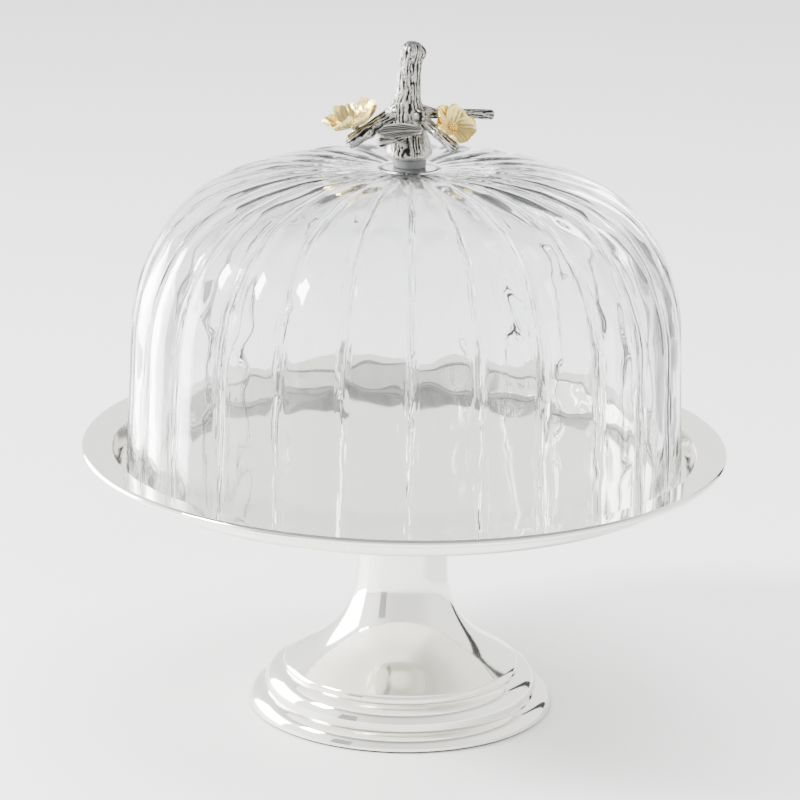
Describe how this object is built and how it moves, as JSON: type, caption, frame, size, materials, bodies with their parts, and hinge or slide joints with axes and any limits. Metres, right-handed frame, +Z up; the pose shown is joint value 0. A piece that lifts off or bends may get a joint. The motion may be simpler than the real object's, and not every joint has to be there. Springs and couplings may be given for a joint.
{
  "type": "cake stand dome",
  "caption": "Footed cake stand with a lift-off fluted glass dome and a cast twig finial with gilt flowers.",
  "frame": {"origin": "centre of the foot, on the table", "axes": "+Z up along the stem and the dome, +Y to the back, so the front flower side faces -Y"},
  "size_m": [0.312, 0.312, 0.3294],
  "materials": {
    "polished_silver": "mirror polished",
    "antique_silver": "antiqued, dark in the grooves",
    "gilt": "satin pale gold",
    "dome_glass": "clear",
    "gasket": "translucent grey",
    "felt": "felt",
    "steel": "bright zinc"
  },
  "bodies": {
    "stand": {"plate": "polished_silver", "pedestal": "polished_silver", "foot_pad": "felt", "plate_stud": "steel", "clamp_disc": "steel", "spring_washer": "steel", "stand_nut": "steel"},
    "dome": {"glass_dome": "dome_glass", "outer_gasket": "gasket", "inner_gasket": "gasket", "inner_washer": "steel", "dome_nut": "steel", "finial_screw": "steel", "twig_finial": "antique_silver", "leaf": "antique_silver", "flower_left": "gilt", "flower_right": "gilt", "stamen_pin_left": "gilt", "stamen_pin_right": "gilt"}
  },
  "joints": [
    {"name": "dome_lift", "type": "slide", "parent": "stand", "child": "dome", "axis": [0, 0, 1], "range_m": [0, 0.2]}
  ]
}
